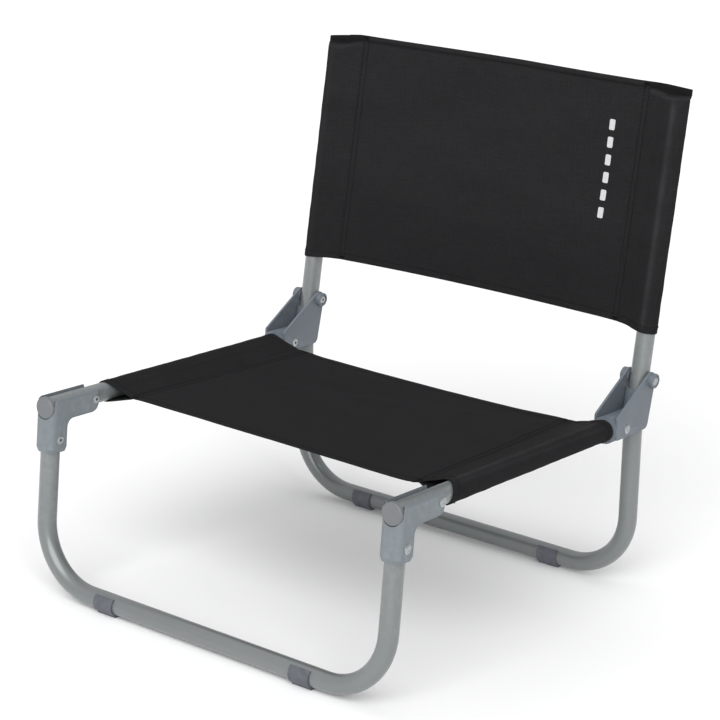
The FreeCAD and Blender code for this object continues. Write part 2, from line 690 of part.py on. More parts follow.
def make_back_cloth():
    """Flat panel with a closed-topped sleeve over each upright, in the upright's own frame."""
    span = SIZE["half_span"]
    height = "sizes.back_cloth_top - sizes.back_cloth_start"
    panel = box("back_panel", "2 * sizes.half_span", "sizes.cloth_thickness", height,
                V(-span, -SIZE["cloth_thickness"] / 2, SIZE["back_cloth_start"]))
    sleeves = []
    bores = []
    for name, side in SIDES:
        foot = V(side * span, 0, 0)
        start = foot + Z_AXIS * SIZE["back_cloth_start"]
        sleeves.append(cylinder(f"back_sleeve_{name}", "sizes.sleeve_radius", height, start))
        bores.append(cylinder(f"back_bore_{name}", "sizes.tube_radius + sizes.press_gap",
                              "sizes.upright_length + sizes.plug_dome + sizes.plug_gap", foot))
    cloth = cut("back_cloth_cut", fuse("back_cloth_solid", panel, *sleeves), *bores)
    finish(cloth, "back_cloth", FreeCAD.Placement(KNEE, BACK_TILT))


# ---- assembly

upright_top, rear_floor = make_back_frame()
leg_rivet_at, front_floor = make_front_leg_loop()
hinge_rivet_at = SEAT_FRONT + SEAT_ALONG * SIZE["hinge_rivet_run"]
boss_grip = "2 * (sizes.hinge_half_width + sizes.boss_height - sizes.sink_depth + sizes.head_gap)"
for name, side in SIDES:
    make_plug(f"back_plug_{name}", side_point(upright_top, side))
    make_foot(f"rear_foot_{name}", side * SIZE["foot_offset"], rear_floor)
    make_foot(f"front_foot_{name}", side * SIZE["foot_offset"], front_floor)
    make_seat_tube(f"seat_tube_{name}", side)
    make_seat_cap(f"seat_cap_{name}", side)
    make_front_bracket(f"front_bracket_{name}", side)
    make_rear_hinge(f"rear_hinge_{name}", side)
    make_rivet(f"front_pivot_rivet_{name}", "sizes.bracket_width + 2 * sizes.head_gap",
               SEAT_PIVOT, side)
    make_rivet(f"front_leg_rivet_{name}", "sizes.bracket_width", leg_rivet_at, side)
    make_rivet(f"hinge_pivot_rivet_{name}", boss_grip, BACK_PIVOT, side)
    make_rivet(f"hinge_tube_rivet_{name}", "2 * sizes.hinge_half_width", hinge_rivet_at, side)
    make_washers(f"hinge_washers_{name}", side)
make_seat_cloth()
make_back_cloth()

doc.recompute()
for thing in doc.Objects:
    if "Invalid" in thing.State or "Error" in thing.State:
        raise RuntimeError(f"{thing.Name} failed: {thing.State}")
os.makedirs("parts", exist_ok=True)
for part in sub_parts:
    if part.Shape.isNull() or not part.Shape.isValid():
        raise RuntimeError(f"{part.Label} has no valid shape")
    part.Shape.exportStep(f"parts/{part.Label}.step")
    outline_box = part.Shape.BoundBox
    print(f"{part.Label:28s} solids {len(part.Shape.Solids)}  volume {part.Shape.Volume:11.1f}  "
          f"x {outline_box.XMin:7.1f} {outline_box.XMax:7.1f}  "
          f"y {outline_box.YMin:7.1f} {outline_box.YMax:7.1f}  "
          f"z {outline_box.ZMin:7.1f} {outline_box.ZMax:7.1f}")
print("seat pivot", SEAT_PIVOT)
print("back pivot", BACK_PIVOT)
print("front floor", front_floor)
print("rear floor", rear_floor)
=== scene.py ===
import math

import bpy
import numpy as np
from mathutils import Matrix, Vector, noise


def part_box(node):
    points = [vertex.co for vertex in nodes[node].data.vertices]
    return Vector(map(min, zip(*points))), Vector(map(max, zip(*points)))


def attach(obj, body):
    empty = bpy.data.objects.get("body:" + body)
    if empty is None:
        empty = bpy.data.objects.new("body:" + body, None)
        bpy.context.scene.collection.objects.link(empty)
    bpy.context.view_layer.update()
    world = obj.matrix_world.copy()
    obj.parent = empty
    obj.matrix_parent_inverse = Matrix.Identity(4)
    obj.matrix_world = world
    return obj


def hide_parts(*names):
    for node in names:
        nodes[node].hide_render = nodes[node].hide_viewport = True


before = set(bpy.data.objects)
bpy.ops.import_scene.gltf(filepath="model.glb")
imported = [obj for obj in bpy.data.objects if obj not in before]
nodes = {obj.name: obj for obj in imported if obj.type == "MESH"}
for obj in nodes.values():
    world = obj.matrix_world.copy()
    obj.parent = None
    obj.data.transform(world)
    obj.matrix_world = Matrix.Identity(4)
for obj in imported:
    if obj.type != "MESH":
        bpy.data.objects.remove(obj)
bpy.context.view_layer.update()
print("frame loaded:", len(nodes), "parts")


# camera, light and floor

cameraSet = {
    "azimuth": 37.046,      # degrees round the chair, 0 looks along +Y
    "elevation": 16.798,    # degrees down towards the floor
    "roll": 2.324,
    "lens": 117.8,          # mm on a 36 mm sensor
    "place": (1.5498, -2.0496, 1.0489),
}

lightSet = {
    "sky": 0.47,
    "skyColour": (1.0, 1.0, 1.0),
    # name: (azimuth, elevation, softness in degrees, strength)
    "key": (30, 36, 60, 2.85),
    "side": (-65, 35, 80, 0.35),
    "back": (200, 55, 80, 0.30),
    "floorSize": 60.0,
    "floorColour": (0.97, 0.97, 0.975),
}


def cameraAxes(azimuth, elevation, roll):
    a, e, r = (math.radians(v) for v in (azimuth, elevation, roll))
    back = Vector((math.sin(a) * math.cos(e), -math.cos(a) * math.cos(e), math.sin(e)))
    flatRight = Vector((math.cos(a), math.sin(a), 0))
    flatUp = back.cross(flatRight)
    right = flatRight * math.cos(r) + flatUp * math.sin(r)
    up = flatUp * math.cos(r) - flatRight * math.sin(r)
    return right, up, back


def addCamera():
    data = bpy.data.cameras.new("camera")
    data.sensor_width = 36
    data.lens = cameraSet["lens"]
    data.clip_end = 100
    camera = bpy.data.objects.new("camera", data)
    bpy.context.scene.collection.objects.link(camera)
    axes = cameraAxes(cameraSet["azimuth"], cameraSet["elevation"], cameraSet["roll"])
    turn = Matrix(axes).transposed().to_4x4()
    camera.matrix_world = Matrix.Translation(cameraSet["place"]) @ turn
    bpy.context.scene.camera = camera


def addLight(name, azimuth, elevation, softness, strength):
    data = bpy.data.lights.new(name, "SUN")
    data.angle = math.radians(softness)
    data.energy = strength
    light = bpy.data.objects.new(name, data)
    bpy.context.scene.collection.objects.link(light)
    back = cameraAxes(azimuth, elevation, 0)[2]
    light.rotation_euler = back.to_track_quat("Z", "Y").to_euler()


def addStudio():
    world = bpy.data.worlds.new("studio")
    bpy.context.scene.world = world
    world.use_nodes = True
    sky = world.node_tree.nodes["Background"]
    sky.inputs["Color"].default_value = (*lightSet["skyColour"], 1)
    sky.inputs["Strength"].default_value = lightSet["sky"]
    for name in ("key", "side", "back"):
        addLight(name, *lightSet[name])
    half = lightSet["floorSize"] / 2
    mesh = bpy.data.meshes.new("floor")
    mesh.from_pydata([(-half, -half, 0), (half, -half, 0), (half, half, 0), (-half, half, 0)],
                     [], [(0, 1, 2, 3)])
    floor = bpy.data.objects.new("floor", mesh)
    bpy.context.scene.collection.objects.link(floor)
    material = bpy.data.materials.new("studio_floor")
    material.use_nodes = True
    shader = material.node_tree.nodes["Principled BSDF"]
    shader.inputs["Base Color"].default_value = (*lightSet["floorColour"], 1)
    shader.inputs["Roughness"].default_value = 0.9
    shader.inputs["Specular IOR Level"].default_value = 0.1
    mesh.materials.append(material)
    bpy.context.scene.view_settings.view_transform = "Standard"


addCamera()
addStudio()
print("camera, light and floor made")


# materials

class NodeKit:
    # short ways to add and join shader nodes
    def __init__(self, name):
        self.material = bpy.data.materials.new(name)
        self.material.use_nodes = True
        self.tree = self.material.node_tree
        self.shader = self.tree.nodes["Principled BSDF"]

    def add(self, kind, settings=None, **inputs):
        node = self.tree.nodes.new(kind)
        for key, value in (settings or {}).items():
            setattr(node, key, value)
        for key, value in inputs.items():
            self.put(node.inputs[key.replace("_", " ")], value)
        return node

    def put(self, socket, value):
        if isinstance(value, bpy.types.NodeSocket):
            self.tree.links.new(value, socket)
        else:
            socket.default_value = value

    def sum(self, operation, first, second=0.0):
        node = self.tree.nodes.new("ShaderNodeMath")
        node.operation = operation
        for socket, value in zip(node.inputs, (first, second)):
            self.put(socket, value)
        return node.outputs[0]

    def noise(self, where, scale, detail=3.0, roughness=0.55):
        node = self.add("ShaderNodeTexNoise", None, Vector=where, Scale=scale, Detail=detail,
                        Roughness=roughness)
        return node.outputs["Fac"]

    def span(self, value, low, high, toLow=0.0, toHigh=1.0):
        node = self.tree.nodes.new("ShaderNodeMapRange")
        for socket, amount in zip(node.inputs[:5], (value, low, high, toLow, toHigh)):
            self.put(socket, amount)
        return node.outputs[0]

    def blend(self, share, first, second):
        node = self.add("ShaderNodeMix", {"data_type": "RGBA"})
        self.put(node.inputs[0], share)
        self.put(node.inputs[6], first)
        self.put(node.inputs[7], second)
        return node.outputs[2]

    def stretch(self, where, scale):
        node = self.add("ShaderNodeMapping", None, Vector=where)
        node.inputs["Scale"].default_value = scale
        return node.outputs[0]

    def bump(self, height, distance, strength=1.0, under=None):
        node = self.add("ShaderNodeBump", None, Height=height, Distance=distance,
                        Strength=strength)
        if under is not None:
            self.put(node.inputs["Normal"], under)
        return node.outputs[0]


def tint(colour, factor):
    return (*[min(1.0, c * factor) for c in colour], 1)


hardLooks = {
    "tubePaint": {
        "colour": (0.176, 0.190, 0.190), "mottle": 0.04, "mottleScale": 9, "worn": 0.25,
        "roughness": (0.30, 0.42), "grainScale": 900, "grainHeight": 0.00005, "metallic": 0.30,
        "streak": 0.05, "coat": 0.5,
    },
    "bracketPlastic": {
        "colour": (0.154, 0.175, 0.190), "mottle": 0.018, "mottleScale": 18, "worn": 0.35,
        "roughness": (0.42, 0.56), "grainScale": 2400, "grainHeight": 0.00005, "metallic": 0.0,
        "streak": 0.012, "coat": 0.0,
    },
    "hingePlastic": {
        "colour": (0.120, 0.139, 0.160), "mottle": 0.018, "mottleScale": 18, "worn": 0.35,
        "roughness": (0.42, 0.56), "grainScale": 2400, "grainHeight": 0.00005, "metallic": 0.0,
        "streak": 0.012, "coat": 0.0,
    },
    "capPlastic": {
        "colour": (0.141, 0.148, 0.155), "mottle": 0.03, "mottleScale": 24, "worn": 0.3,
        "roughness": (0.45, 0.58), "grainScale": 2600, "grainHeight": 0.00005, "metallic": 0.0,
        "streak": 0.02, "coat": 0.0,
    },
    "rivetZinc": {
        "colour": (0.40, 0.42, 0.425), "mottle": 0.16, "mottleScale": 260, "worn": 0.5,
        "roughness": (0.30, 0.48), "grainScale": 3000, "grainHeight": 0.00003, "metallic": 0.85,
        "streak": 0.04, "coat": 0.0,
    },
    "washerNylon": {
        "colour": (0.115, 0.120, 0.135), "mottle": 0.05, "mottleScale": 60, "worn": 0.1,
        "roughness": (0.40, 0.50), "grainScale": 2600, "grainHeight": 0.00003, "metallic": 0.0,
        "streak": 0.02, "coat": 0.0,
    },
    "footPlastic": {
        "colour": (0.074, 0.080, 0.094), "mottle": 0.05, "mottleScale": 40, "worn": 0.5,
        "roughness": (0.45, 0.62), "grainScale": 2000, "grainHeight": 0.00006, "metallic": 0.0,
        "streak": 0.06, "coat": 0.0,
    },
}


def hardMaterial(name):
    look = hardLooks[name]
    kit = NodeKit(name)
    where = kit.add("ShaderNodeTexCoord").outputs["Object"]
    clouds = kit.noise(where, look["mottleScale"], 4.0)
    colour = kit.blend(kit.span(clouds, 0.3, 0.7), tint(look["colour"], 1 - look["mottle"]),
                       tint(look["colour"], 1 + look["mottle"]))
    # faint handling marks that run in every direction but mostly along X
    streaks = kit.noise(kit.stretch(where, (14, 160, 160)), 1.0, 5.0, 0.7)
    marks = kit.sum("MULTIPLY", kit.span(streaks, 0.60, 0.74), look["streak"] * 6)
    colour = kit.blend(marks, colour, tint(look["colour"], 1.35))
    # edges rubbed a little paler
    edge = kit.span(kit.add("ShaderNodeNewGeometry").outputs["Pointiness"], 0.515, 0.60)
    patchy = kit.span(kit.noise(where, 140.0, 4.0), 0.35, 0.65)
    rubbed = kit.sum("MULTIPLY", kit.sum("MULTIPLY", edge, patchy), look["worn"])
    colour = kit.blend(rubbed, colour, tint(look["colour"], 1.7))
    kit.put(kit.shader.inputs["Base Color"], colour)
    smear = kit.noise(where, look["mottleScale"] * 3.0, 5.0, 0.6)
    kit.put(kit.shader.inputs["Roughness"], kit.span(smear, 0.3, 0.7, *look["roughness"]))
    kit.shader.inputs["Metallic"].default_value = look["metallic"]
    kit.shader.inputs["Coat Weight"].default_value = look["coat"]
    kit.shader.inputs["Coat Roughness"].default_value = 0.16
    grain = kit.noise(where, look["grainScale"], 2.0)
    peel = kit.noise(where, look["grainScale"] * 0.22, 2.0)
    height = kit.sum("ADD", kit.sum("MULTIPLY", grain, 0.5), peel)
    kit.put(kit.shader.inputs["Normal"], kit.bump(height, look["grainHeight"], 0.8))
    return kit.material


clothLook = {
    "dark": (0.0142, 0.0142, 0.0152),
    "light": (0.0272, 0.0269, 0.0284),
    "gap": (0.0070, 0.0070, 0.0076),
    "thread": 0.00062,      # one thread's width in the weave
    "weaveHeight": 0.00016,
    "sheen": 0.012,
    "shine": 0.015,
    "roughness": (0.58, 0.76),
}

# plain dashes printed on the back panel: middle of the lowest dash, size, spacing and number,
# all in metres
printLook = {
    "colour": (0.58, 0.58, 0.59),
    "place": (0.1615, 0.232),
    "size": (0.0075, 0.0125),
    "corner": 0.0018,
    "spacing": 0.0205,
    "number": 6,
}


def dashMask(kit, parts):
    # 1 inside the rounded dashes, 0 elsewhere
    run = kit.sum("DIVIDE", kit.sum("SUBTRACT", parts[1], printLook["place"][1]),
                  printLook["spacing"])
    row = kit.sum("MAXIMUM", kit.sum("ROUND", run), 0.0)
    row = kit.sum("MINIMUM", row, printLook["number"] - 1.0)
    over = kit.sum("ABSOLUTE", kit.sum("MULTIPLY", kit.sum("SUBTRACT", run, row),
                                       printLook["spacing"]))
    beside = kit.sum("ABSOLUTE", kit.sum("SUBTRACT", parts[0], printLook["place"][0]))
    corner = printLook["corner"]
    over = kit.sum("MAXIMUM", kit.sum("SUBTRACT", over, printLook["size"][1] / 2 - corner), 0.0)
    beside = kit.sum("MAXIMUM", kit.sum("SUBTRACT", beside, printLook["size"][0] / 2 - corner), 0.0)
    gap = kit.sum("SQRT", kit.sum("ADD", kit.sum("MULTIPLY", over, over),
                                  kit.sum("MULTIPLY", beside, beside)))
    return kit.span(kit.sum("SUBTRACT", gap, corner), 0.0001, -0.0001)


def clothMaterial(name, printed):
    kit = NodeKit(name)
    where = kit.add("ShaderNodeUVMap", {"uv_map": "weave"}).outputs[0]
    parts = kit.add("ShaderNodeSeparateXYZ", None, Vector=where).outputs
    across = kit.sum("DIVIDE", parts[0], clothLook["thread"])
    along = kit.sum("DIVIDE", parts[1], clothLook["thread"])
    # plain weave: warp on top where the two thread numbers add up to an even number
    number = kit.sum("ADD", kit.sum("FLOOR", across), kit.sum("FLOOR", along))
    warpOver = kit.sum("PINGPONG", number, 1.0)
    warp = kit.sum("SINE", kit.sum("MULTIPLY", kit.sum("FRACT", across), math.pi))
    weft = kit.sum("SINE", kit.sum("MULTIPLY", kit.sum("FRACT", along), math.pi))
    high = kit.sum("ADD", kit.sum("MULTIPLY", warp, warpOver),
                   kit.sum("MULTIPLY", weft, kit.sum("SUBTRACT", 1.0, warpOver)))
    # slubs: thick and thin stretches of yarn both ways, and a fine fleck over both
    slubWarp = kit.noise(kit.stretch(where, (900, 45, 1)), 1.0, 3.0, 0.6)
    slubWeft = kit.noise(kit.stretch(where, (45, 900, 1)), 1.0, 3.0, 0.6)
    slub = kit.sum("MULTIPLY", kit.sum("ADD", slubWarp, slubWeft), 0.5)
    fleck = kit.noise(where, 620.0, 2.0, 0.7)
    clouds = kit.noise(kit.stretch(where, (7, 24, 1)), 1.0, 4.0)
    share = kit.sum("ADD", kit.span(slub, 0.38, 0.62, 0.0, 0.5),
                    kit.sum("ADD", kit.span(clouds, 0.3, 0.7, -0.05, 0.17),
                            kit.span(fleck, 0.3, 0.7, -0.15, 0.50)))
    colour = kit.blend(share, (*clothLook["dark"], 1), (*clothLook["light"], 1))
    colour = kit.blend(kit.span(high, 0.0, 1.0, 0.35, 0.0), colour, (*clothLook["gap"], 1))
    # paler along the tube ridges, partly rubbed wear and partly painted highlight; then painted shade
    # from the shade attribute in seams, hems, the folded band, over the seat and low on the back
    worn = kit.sum("MULTIPLY", kit.add("ShaderNodeAttribute", {"attribute_name": "rubAndSheen"}).outputs[2],
                   kit.span(clouds, 0.25, 0.6, 0.45, 1.0))
    colour = kit.blend(worn, colour, tint(clothLook["light"], 2.1))
    shade = kit.add("ShaderNodeAttribute", {"attribute_name": "shade"}).outputs[2]
    colour = kit.blend(shade, colour, (*clothLook["gap"], 1))
    if printed:
        # ink lies on the yarn and leaves pinholes where it is thin
        ink = kit.span(kit.sum("ADD", fleck, kit.sum("MULTIPLY", high, 0.4)), 0.30, 0.46)
        inked = kit.sum("MULTIPLY", dashMask(kit, parts), ink)
        colour = kit.blend(inked, colour, (*printLook["colour"], 1))
    kit.put(kit.shader.inputs["Base Color"], colour)
    kit.put(kit.shader.inputs["Roughness"], kit.span(slub, 0.35, 0.65, *clothLook["roughness"]))
    kit.shader.inputs["Specular IOR Level"].default_value = clothLook["shine"]
    kit.shader.inputs["Sheen Weight"].default_value = clothLook["sheen"]
    kit.shader.inputs["Sheen Roughness"].default_value = 0.4
    kit.shader.inputs["Sheen Tint"].default_value = (0.75, 0.75, 0.80, 1)
    yarn = kit.sum("ADD", high, kit.sum("MULTIPLY", slub, 0.8))
    woven = kit.bump(yarn, clothLook["weaveHeight"], 0.7)
    puckers = kit.noise(where, 55.0, 3.0, 0.5)
    kit.put(kit.shader.inputs["Normal"], kit.bump(puckers, 0.0007, 0.3, woven))
    return kit.material


def threadMaterial():
    kit = NodeKit("sewing_thread")
    where = kit.add("ShaderNodeTexCoord").outputs["Object"]
    twist = kit.noise(where, 4200.0, 2.0)
    colour = kit.blend(kit.span(twist, 0.35, 0.65), (0.0022, 0.0022, 0.0026, 1),
                       (0.0060, 0.0060, 0.0070, 1))
    kit.put(kit.shader.inputs["Base Color"], colour)
    kit.put(kit.shader.inputs["Roughness"], kit.span(twist, 0.3, 0.7, 0.5, 0.7))
    kit.shader.inputs["Specular IOR Level"].default_value = 0.08
    kit.put(kit.shader.inputs["Normal"], kit.bump(twist, 0.00008, 0.6))
    return kit.material


nodeLooks = {
    "tubePaint": ("back_frame", "front_leg_loop", "seat_tube_left", "seat_tube_right"),
    "bracketPlastic": ("front_bracket_left", "front_bracket_right"),
    "hingePlastic": ("rear_hinge_left", "rear_hinge_right"),
    "capPlastic": ("seat_cap_left", "seat_cap_right", "back_plug_left", "back_plug_right"),
    "rivetZinc": ("front_pivot_rivet_left", "front_pivot_rivet_right",
                  "front_leg_rivet_left", "front_leg_rivet_right",
                  "hinge_pivot_rivet_left", "hinge_pivot_rivet_right",
                  "hinge_tube_rivet_left", "hinge_tube_rivet_right"),
    "washerNylon": ("hinge_washers_left", "hinge_washers_right"),
    "footPlastic": ("front_foot_left", "front_foot_right", "rear_foot_left", "rear_foot_right"),
}
for finish, names in nodeLooks.items():
    material = hardMaterial(finish)
    for name in names:
        nodes[name].data.materials.clear()
        nodes[name].data.materials.append(material)
plainCloth = clothMaterial("cloth", False)
printedCloth = clothMaterial("cloth_printed", True)
threadFinish = threadMaterial()
print("materials made")


# cloth

# Each cloth is laid out in its own flat frame: x across the chair, along its tubes, and out
# from the side that the sitter touches. All sizes here are in millimetres.
mm = 0.001


def boxMiddle(node):
    low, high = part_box(node)
    return (low + high) / 2


seatPivot = boxMiddle("front_pivot_rivet_right")
seatRear = boxMiddle("hinge_tube_rivet_right")
backPivot = boxMiddle("hinge_pivot_rivet_right")
halfSpan = (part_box("seat_tube_right")[0].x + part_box("seat_tube_right")[1].x) / 2 / mm
seatAlong = Vector((0, seatRear.y - seatPivot.y, seatRear.z - seatPivot.z)).normalized()
backPlug = boxMiddle("back_plug_right")
backAlong = Vector((0, backPlug.y - backPivot.y, backPlug.z - backPivot.z)).normalized()

seatCloth = {
    "name": "seat_panel",
    "body": "seat_assembly",
    "node": "seat_cloth",
    "finish": plainCloth,
    "origin": Vector((0, seatPivot.y, seatPivot.z)) - seatAlong * 68.8 * mm,
    "along": seatAlong,
    "out": Vector((0, -seatAlong.z, seatAlong.y)),
    "sleeve": 11.75,        # radius of the cloth round the tube
    "seam": 40.0,           # from the tube's middle to where the two layers meet
    "seamLean": -12.0,      # how far the seams drift inwards from the front to the rear
    "lap": 12.0,
    "thickness": 0.9,
    "hems": (12.0, 12.0),
    "roll": 0.0,
    "sag": 4.5,
    "tubeTop": None,
    "baseShade": 0.13,           # painted shade: how much darker than the back the seat is painted
    "cut": (0.680, 0.332),
    # edges: distance across the cloth from its middle, then distance along the tube
    "front": ((-338, 106), (-324, 103), (-286, 98), (-266, 98), (-254, 97), (-246, 97),
              (-230, 98.5), (-206, 100.5), (-176, 101.8), (-26, 100.8), (62, 98.6), (171, 95.9),
              (191, 96.2), (200, 98.5), (207, 104.5), (214, 108), (222, 109), (231, 109),
              (238, 106), (246, 100), (256, 93), (266, 89), (286, 92), (324, 104), (338, 107)),
    "rear": ((-338, 396), (-324, 398), (-286, 400), (-254, 401.5), (-230, 402), (-206, 404),
             (-184, 403), (-158, 399), (-134, 398.4), (-70, 397), (0, 396.4), (76, 398),
             (131, 400), (160, 403.4), (186, 406.5), (204, 407.5), (216, 405.5), (232, 402.5),
             (248, 401.5), (266, 401.5), (286, 400), (324, 398), (338, 396)),
}

backCloth = {
    "name": "back_panel",
    "body": "back_assembly",
    "node": "back_cloth",
    "finish": printedCloth,
    "origin": Vector((0, backPivot.y, backPivot.z)) - backAlong * 54.0 * mm,
    "along": backAlong,
    "out": Vector((0, -backAlong.z, backAlong.y)),
    "sleeve": 11.75,
    "seam": 41.0,
    "seamLean": 0.0,
    "lap": 12.0,
    "thickness": 0.9,
    "hems": (10.0, 8.5),
    "roll": 1.5,
    "sag": 5.0,
    "tubeTop": 374.0,      # the tubes end here, inside the sleeves
    "baseShade": 0.0,
    "cut": (0.680, 0.300),
    "front": ((-338, 113), (-324, 111.5), (-286, 107.5), (-264, 106), (-252, 105.8),
              (-246, 106.4), (-218, 109.3), (-202, 109.9), (-155, 111), (-109, 112),
              (-48, 112.9), (11, 113.3), (69, 113.4), (126, 113.1), (181, 112.7), (214, 112),
              (222, 111.4), (236, 108.6), (248, 107.4), (264, 107), (286, 108.5), (324, 113),
              (338, 114.5)),
    "rear": ((-338, 386), (-324, 386.4), (-286, 383.5), (-264, 383.6), (-254, 384.8),
             (-244, 386.4), (-228, 388.8), (-212, 390.6), (-150, 390.6), (-31, 391.4),
             (26, 391.4), (82, 390.6), (137, 390.1), (191, 390), (212, 390.6), (233, 390.4),
             (244, 389.6), (254, 388.9), (264, 388.4), (286, 388), (324, 386.5), (338, 386)),
}


# how the seams and hems of both cloths are sewn, in millimetres unless noted
sewSet = {
    "rows": (-5.2, 1.8),        # the two stitch rows, from where the layers meet
    "groove": 0.28,             # how deep a row pulls the cloth in
    "hemRow": 2.2,              # from the hem's inner edge to its stitch row
    "hemGroove": 0.30,
    "rowShade": 0.14,           # painted shade along a stitch row: how much darker it looks, as a share; hemShade is the same along a hem row
    "hemShade": 0.24,
    "bandShade": 0.60,          # painted shade on the sewn-shut sleeve tops
    "lowShade": 0.20,           # painted shade towards the back's lower edge
    "tackAt": (0.012, 0.988),   # shares along the seam
    "tackReach": 4.2,
    "length": 300,              # rounded length of a panel, for turning mm into shares
}


def softened(values, width):
    # running average that keeps the ends in place
    reach = max(1, int(width))
    kernel = np.hanning(2 * reach + 3)[1:-1]
    padded = np.concatenate([2 * values[0] - values[reach:0:-1], values,
                             2 * values[-1] - values[-2:-reach - 2:-1]])
    return np.convolve(padded, kernel / kernel.sum(), "valid")


def halfSection(cloth):
    # from the middle of the panel out, over the tube and back under to the free edge
    radius, seam = cloth["sleeve"], cloth["seam"]
    lean = math.acos(radius / seam)
    turn = np.linspace(math.pi - lean, lean - math.pi, 90)
    ring = np.stack([halfSpan + radius * np.cos(turn), radius * np.sin(turn)], 1)
    meet = halfSpan - seam
    corners = np.concatenate([[(0, 0), (meet, 0)], ring, [(meet, -1.1), (meet - cloth["lap"], -1.1)]])
    steps = np.linalg.norm(np.diff(corners, axis=0), axis=1)
    reached = np.concatenate([[0], np.cumsum(steps)])
    fine = np.linspace(0, reached[-1], int(reached[-1] * 4))
    x = softened(np.interp(fine, reached, corners[:, 0]), 8)
    out = softened(np.interp(fine, reached, corners[:, 1]), 8)
    return fine, x, out


def edgeLine(cloth, key, across):
    fine = np.linspace(-345, 345, 1381)
    where, value = np.array(cloth[key], float).T
    return np.interp(across, fine, softened(np.interp(fine, where, value), 16))


def waves(x, y, seed, scale, depth=2):
    flat = np.array([noise.fractal(Vector((a * scale, b * scale, seed)), 0.6, 2.0, depth)
                     for a, b in zip(x.ravel(), y.ravel())])
    return flat.reshape(x.shape)


def bell(value, width):
    return np.exp(-(value / width) ** 2)


def cornerPulls(cloth, x, along, corners, amount, spokes):
    # shallow folds that fan out of the sewn corners of the panel
    drop = 0.0
    inside = halfSpan - cloth["seam"] - 2
    for side, end, sign in corners:
        dx = side * inside - x
        dy = (along - end) * sign
        reach = np.hypot(dx, dy) + 1
        angle = np.arctan2(dy, dx * side)
        drop = drop + amount * np.sin(angle * spokes + 2 * side + sign) * bell(reach - 20, 38)
    return drop


def panelShare(cloth, x):
    # 1 on the flat panel and 0 at the seams, and a rounded hump between the seams
    inside = halfSpan - cloth["seam"]
    return np.clip((inside - np.abs(x)) / 30, 0, 1), 1 - np.clip(np.abs(x) / inside, 0, 1) ** 2


def seatWrinkles(cloth, across, along, share):
    inPanel, hump = panelShare(cloth, across)
    # slung: the hems stay taut and the middle hangs a little lower
    hang = 0.12 + 0.88 * np.sin(math.pi * np.clip(share, 0, 1)) ** 0.9
    drop = -cloth["sag"] * hump * hang
    # one long soft fold from the left seam to the rear right corner
    fold = along - np.interp(across, (-208, -177, -56, 37, 94, 190),
                             (236, 258, 298, 330, 350, 378))
    strong = 0.35 + 0.65 * bell(across + 40, 190)
    drop += inPanel * strong * (0.95 * bell(fold, 8) - 0.65 * bell(fold - 17, 15))
    corners = ((-1, 100, 1), (1, 94, 1), (-1, 402, -1), (1, 406, -1))
    drop += inPanel * cornerPulls(cloth, across, along, corners, 0.25, 9)
    return drop + 0.4 * waves(across, along, 3.1, 0.012) * inPanel


def backWrinkles(cloth, across, along, share):
    inPanel, hump = panelShare(cloth, across)
    drop = -cloth["sag"] * hump * (0.75 + 0.25 * np.sin(math.pi * np.clip(share, 0, 1)))
    # slow bands that lean a little across the panel
    slow = along / 25 + 0.004 * across + 1.3 * waves(across, along, 8.3, 0.004, 1)
    drop += 0.70 * inPanel * np.sin(slow)
    corners = ((-1, 110, 1), (1, 112, 1), (-1, 389, -1), (1, 389, -1))
    drop += inPanel * cornerPulls(cloth, across, along, corners, 0.3, 8)
    return drop + 0.3 * waves(across, along, 5.7, 0.010) * inPanel


seatCloth["wrinkles"] = seatWrinkles
backCloth["wrinkles"] = backWrinkles


def seamLines(cloth, share):
    # how far out each of the two stitch rows runs, from the middle of the cloth
    lean = cloth["seamLean"] * np.clip(share, 0, 1) ** 1.5
    meet = halfSpan - cloth["seam"]
    inner, outer = sewSet["rows"]
    return meet + inner + lean, meet + outer + lean


def smoothStep(value):
    value = np.clip(value, 0, 1)
    return value * value * (3 - 2 * value)


def hemStitch(cloth, end):
    # distance of the hem's stitch row from the edge
    return cloth["hems"][end] - sewSet["hemRow"]


